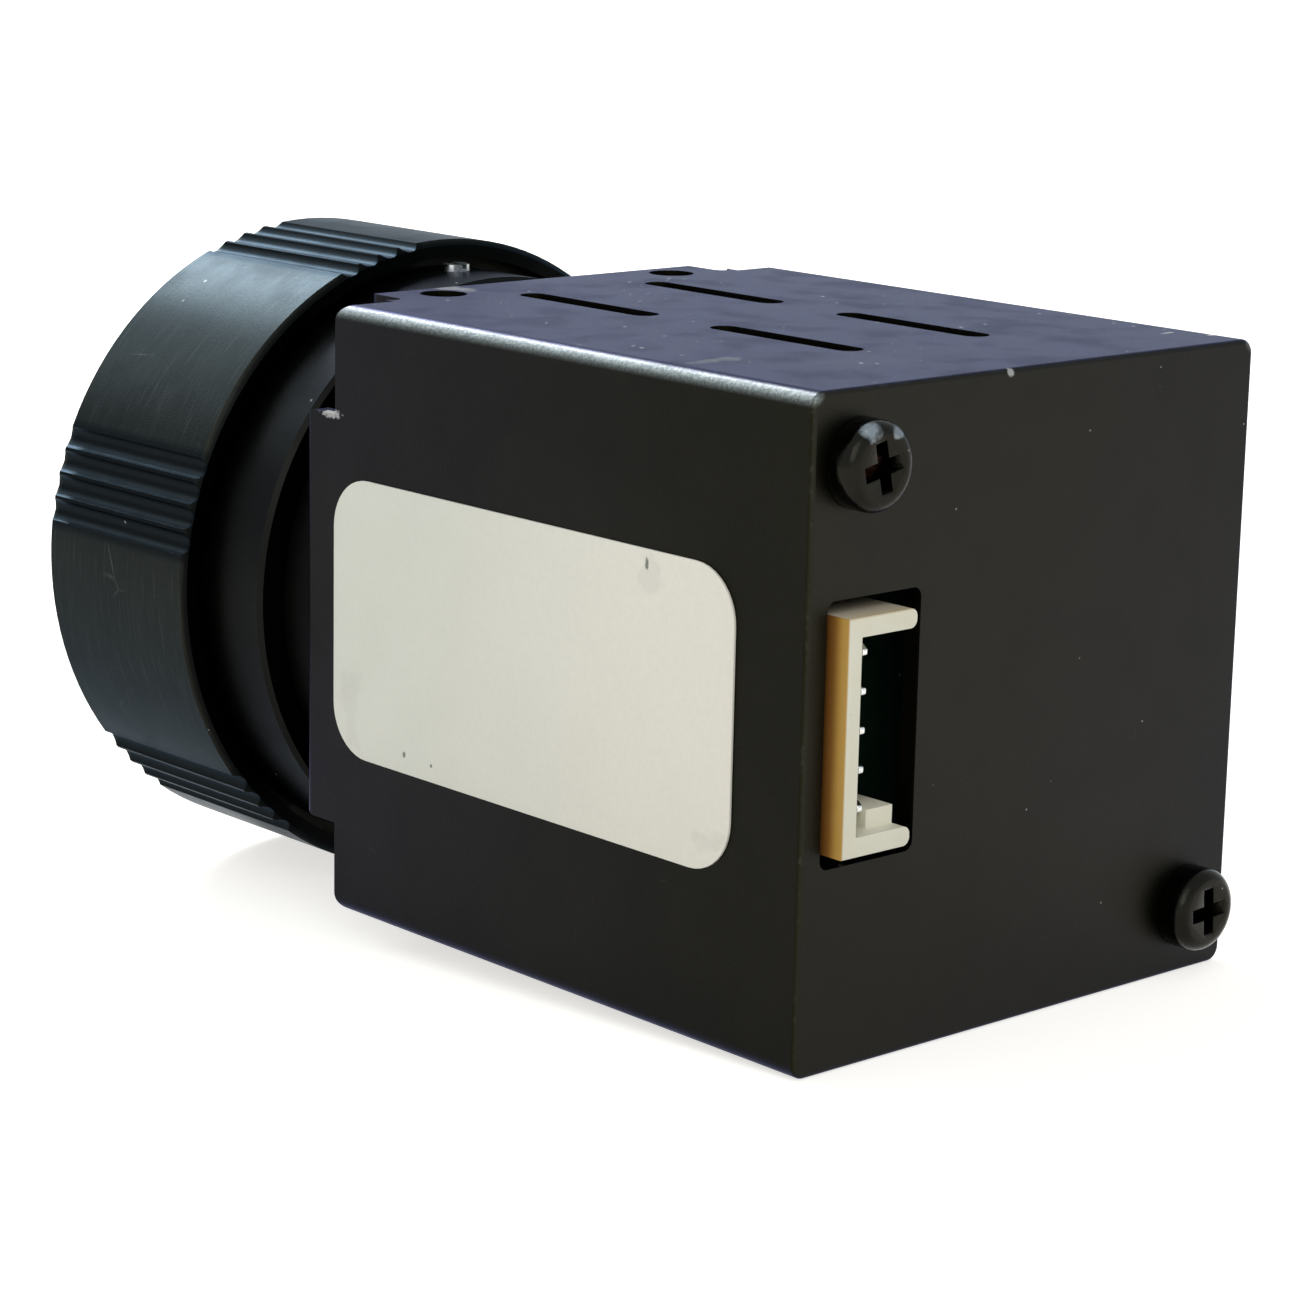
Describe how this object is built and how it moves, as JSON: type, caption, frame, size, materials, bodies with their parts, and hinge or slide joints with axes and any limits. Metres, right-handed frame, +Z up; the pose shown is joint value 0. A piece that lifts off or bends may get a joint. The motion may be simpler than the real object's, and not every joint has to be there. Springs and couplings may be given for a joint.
{
  "type": "thermal imaging camera",
  "caption": "Small box-shaped thermal camera core with a manual focus lens, vented housing and a board-to-wire socket at the back.",
  "frame": {"origin": "centre of the housing's flat bottom face, between its front edge and its back", "axes": "+Z up out of the housing's top, -Y the way the lens looks, +Y out of the back, +X out of the labelled side"},
  "size_m": [0.029, 0.0481, 0.029],
  "materials": {
    "black_anodised_housing": "satin black anodised aluminium",
    "label_paper": "off-white coated label stock",
    "black_screw_steel": "black oxide steel",
    "black_anodised_chassis": "matt black anodised aluminium",
    "black_anodised_lens": "matt black anodised aluminium",
    "black_anodised_ring": "satin black anodised aluminium",
    "spring_steel": "plain spring steel",
    "guide_screw_steel": "plain steel",
    "coated_germanium": "dark infrared lens with a smooth coating",
    "black_rubber": "soft black rubber",
    "black_sheet": "matt black sheet",
    "actuator_black": "moulded black plastic",
    "ceramic_package": "grey ceramic with a metal frame",
    "circuit_board": "green solder mask on glass epoxy",
    "chip_black": "moulded black package",
    "ferrite_grey": "pressed ferrite",
    "tantalum_yellow": "moulded yellow resin",
    "connector_black": "moulded black plastic",
    "spacer_brass": "turned brass",
    "header_nylon": "natural cream nylon",
    "tinned_pins": "tin-plated square pins"
  },
  "bodies": {
    "camera_body": {"housing": "black_anodised_housing", "side_label": "label_paper", "rear_screws": "black_screw_steel", "front_chassis": "black_anodised_chassis", "lens_lock_ring": "black_anodised_chassis", "lens_barrel": "black_anodised_lens", "focus_ring_clip": "spring_steel", "focus_guide_screws": "guide_screw_steel", "shutter_base": "black_sheet", "shutter_actuator": "actuator_black", "sensor_package": "ceramic_package", "sensor_window": "coated_germanium", "sensor_board": "circuit_board", "processor_board": "circuit_board", "interface_board": "circuit_board", "image_processor": "chip_black", "memory_chip": "chip_black", "power_inductor": "ferrite_grey", "filter_capacitors": "tantalum_yellow", "board_sockets": "connector_black", "board_plugs": "connector_black", "shutter_spacers": "spacer_brass", "sensor_spacers": "spacer_brass", "processor_spacers": "spacer_brass", "interface_spacers": "spacer_brass", "stack_screws": "black_screw_steel", "connector_header": "header_nylon", "connector_pins": "tinned_pins"},
    "focus_ring": {"focus_ring": "black_anodised_ring"},
    "lens_cell": {"lens_cell": "black_anodised_lens", "front_lens": "coated_germanium", "front_lens_seal": "black_rubber", "front_retaining_ring": "black_anodised_lens", "rear_lens": "coated_germanium", "rear_retaining_ring": "black_anodised_lens"},
    "shutter_blade": {"shutter_blade": "black_sheet"}
  },
  "joints": [
    {"name": "focus_ring_turn", "type": "hinge", "parent": "camera_body", "child": "focus_ring", "pos_m": [0, -0.0274, 0.0126], "axis": [0, 1, 0], "range_deg": [-90, 180]},
    {"name": "focus_travel", "type": "slide", "parent": "camera_body", "child": "lens_cell", "axis": [0, -1, 0], "range_m": [-0.0001875, 0.000375]},
    {"name": "shutter_swing", "type": "hinge", "parent": "camera_body", "child": "shutter_blade", "pos_m": [-0.0096, -0.00715, 0.0126], "axis": [0, 1, 0], "range_deg": [0, 55.95]}
  ],
  "couplings": [
    {"joint": "focus_ring_turn", "follows": "focus_travel", "rad_per_m": 8377.6}
  ]
}
